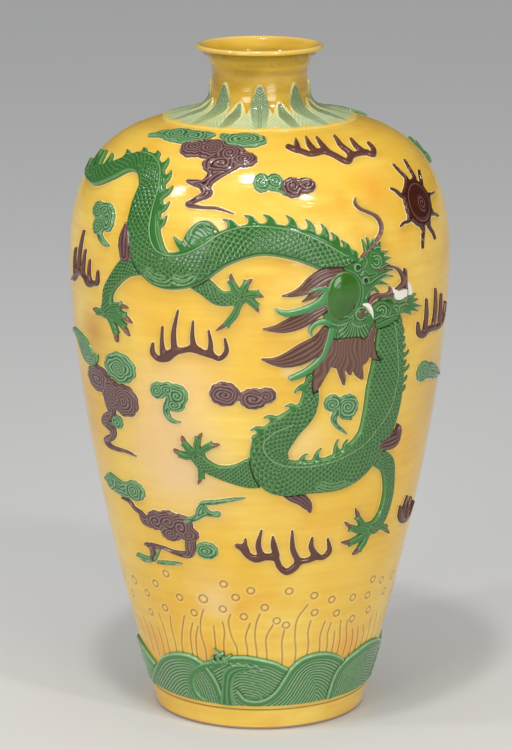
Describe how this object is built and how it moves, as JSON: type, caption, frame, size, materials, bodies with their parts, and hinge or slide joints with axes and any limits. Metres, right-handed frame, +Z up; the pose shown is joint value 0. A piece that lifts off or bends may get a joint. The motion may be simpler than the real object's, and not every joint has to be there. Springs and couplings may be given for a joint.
{
  "type": "ceramic vase",
  "caption": "Tall ovoid vase with high shoulders, waisted neck, rolled lip and foot ring, glazed yellow with raised green and aubergine dragons, clouds, flames and waves.",
  "frame": {"origin": "centre of the foot ring's underside, on the vase's axis", "axes": "+Z up the axis, -Y towards the viewer of the picture, +X to the right of that view"},
  "size_m": [0.2812, 0.2868, 0.5],
  "materials": {
    "yellow_glaze": "glossy lead glaze, egg-yolk yellow with straw and orange pooling",
    "green_glaze": "glossy green lead glaze over carved relief, darker where it pools",
    "aubergine_glaze": "glossy brown-purple glaze over carved relief",
    "pale_green_glaze": "thin pale green glaze over veined leaves",
    "white_glaze": "clear glaze over white body, on teeth and eyes",
    "bare_clay": "dry biscuit at the foot"
  },
  "bodies": {
    "root": {"back_belly_tuft": "aubergine_glaze", "back_cloud_cluster": "aubergine_glaze", "back_cloud_crown": "aubergine_glaze", "back_cloud_in_loop": "green_glaze", "back_cloud_low": "aubergine_glaze", "back_cloud_middle": "green_glaze", "back_cloud_pair": "green_glaze", "back_cloud_right": "green_glaze", "back_cloud_streak": "green_glaze", "back_cloud_twin": "aubergine_glaze", "back_cloud_upper": "green_glaze", "back_dragon_front_trunk": "green_glaze", "back_dragon_head": "green_glaze", "back_dragon_mane": "aubergine_glaze", "back_dragon_rear_trunk": "green_glaze", "back_dragon_whisker": "aubergine_glaze", "back_flame_left": "aubergine_glaze", "back_flame_low": "aubergine_glaze", "back_flame_low_right": "aubergine_glaze", "back_flame_middle": "aubergine_glaze", "back_flame_right": "aubergine_glaze", "back_flame_shoulder": "aubergine_glaze", "back_fore_leg_left": "green_glaze", "back_fore_leg_right": "green_glaze", "back_hind_leg_inner": "green_glaze", "back_hind_leg_outer": "green_glaze", "back_sun": "aubergine_glaze", "base_section": "yellow_glaze", "belly_section": "yellow_glaze", "front_belly_tuft": "aubergine_glaze", "front_cloud_cluster": "aubergine_glaze", "front_cloud_crown": "aubergine_glaze", "front_cloud_in_loop": "green_glaze", "front_cloud_low": "aubergine_glaze", "front_cloud_middle": "green_glaze", "front_cloud_pair": "green_glaze", "front_cloud_right": "green_glaze", "front_cloud_streak": "green_glaze", "front_cloud_twin": "aubergine_glaze", "front_cloud_upper": "green_glaze", "front_dragon_front_trunk": "green_glaze", "front_dragon_head": "green_glaze", "front_dragon_mane": "aubergine_glaze", "front_dragon_rear_trunk": "green_glaze", "front_dragon_whisker": "aubergine_glaze", "front_flame_left": "aubergine_glaze", "front_flame_low": "aubergine_glaze", "front_flame_low_right": "aubergine_glaze", "front_flame_middle": "aubergine_glaze", "front_flame_right": "aubergine_glaze", "front_flame_shoulder": "aubergine_glaze", "front_fore_leg_left": "green_glaze", "front_fore_leg_right": "green_glaze", "front_hind_leg_inner": "green_glaze", "front_hind_leg_outer": "green_glaze", "front_sun": "aubergine_glaze", "leaf_collar": "pale_green_glaze", "neck_section": "yellow_glaze", "shoulder_section": "yellow_glaze", "wave_band": "green_glaze"}
  },
  "joints": []
}
